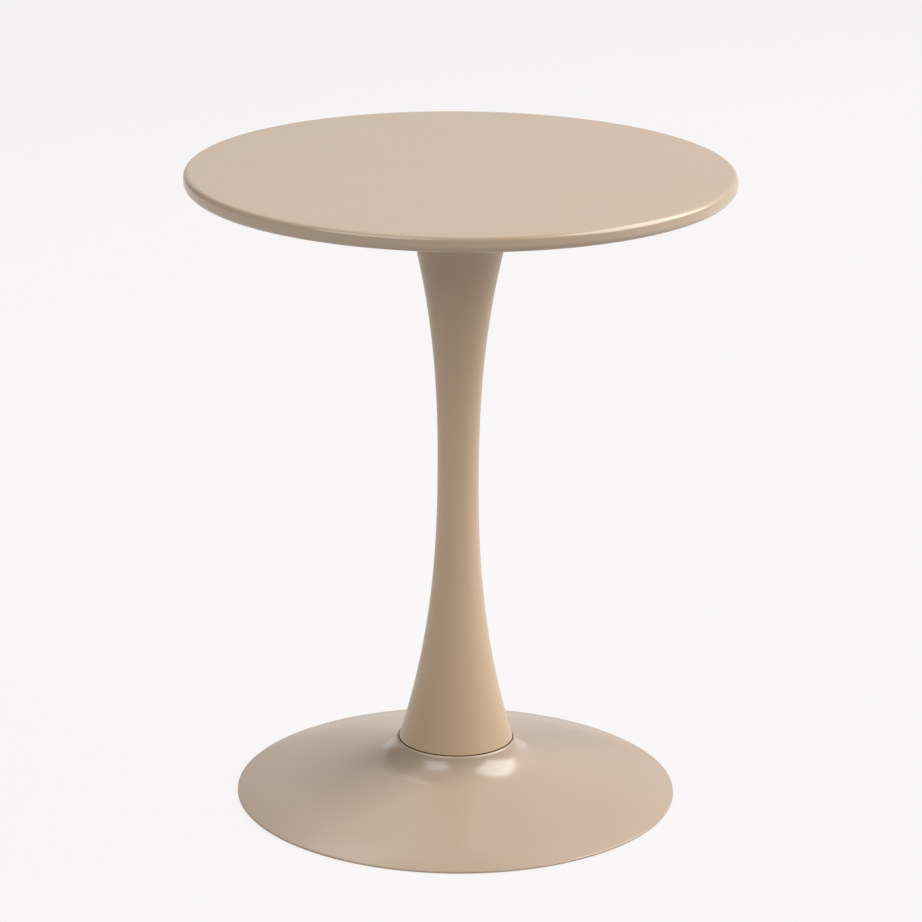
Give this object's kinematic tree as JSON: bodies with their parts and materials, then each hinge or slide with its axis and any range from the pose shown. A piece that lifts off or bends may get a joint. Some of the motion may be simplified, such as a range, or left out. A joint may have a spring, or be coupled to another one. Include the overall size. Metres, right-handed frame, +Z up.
{
  "type": "pedestal table",
  "caption": "Round cafe table: a lacquered disc top with a rounded edge on a waisted trumpet stem, whose foot sits in the collar of a shallow cone base.",
  "frame": {"origin": "on the floor, on the pedestal's axis, under the floor pads", "axes": "+Z up along the pedestal's axis; +X to the right and -Y towards the front, though the table looks the same all round"},
  "size_m": [0.6, 0.6, 0.72],
  "materials": {
    "top_lacquer": "satin greige lacquer on fibreboard",
    "pedestal_paint": "satin greige powder coat",
    "black_rubber": "matt",
    "black_nylon": "matt, moulded",
    "cast_iron": "as cast, grey primer",
    "zinc_steel": "zinc plated",
    "raw_steel": "mill finish, oiled",
    "brass": "turned"
  },
  "bodies": {
    "root": {"ballast_disc": "cast_iron", "base_shell": "pedestal_paint", "clamp_nut": "zinc_steel", "clamp_washer": "zinc_steel", "column_tube": "raw_steel", "floor_pad_1": "black_rubber", "floor_pad_2": "black_rubber", "floor_pad_3": "black_rubber", "floor_pad_4": "black_rubber", "floor_pad_5": "black_rubber", "floor_pad_6": "black_rubber", "floor_plate": "zinc_steel", "foot_spigot": "raw_steel", "hatch_cap": "black_nylon", "head_spigot": "raw_steel", "lock_washer": "zinc_steel", "plate_screw_1": "zinc_steel", "plate_screw_2": "zinc_steel", "plate_screw_3": "zinc_steel", "plate_screw_4": "zinc_steel", "plate_screw_5": "zinc_steel", "plate_screw_6": "zinc_steel", "rim_seal": "black_rubber", "stem": "pedestal_paint", "stem_foot_ring": "black_nylon", "stem_gasket": "black_rubber", "stem_head_ring": "black_nylon", "tabletop": "top_lacquer", "tie_rod": "zinc_steel", "top_insert_1": "brass", "top_insert_2": "brass", "top_insert_3": "brass", "top_insert_4": "brass", "top_insert_5": "brass", "top_insert_6": "brass", "top_plate": "raw_steel", "top_screw_1": "zinc_steel", "top_screw_2": "zinc_steel", "top_screw_3": "zinc_steel", "top_screw_4": "zinc_steel", "top_screw_5": "zinc_steel", "top_screw_6": "zinc_steel"}
  },
  "joints": []
}
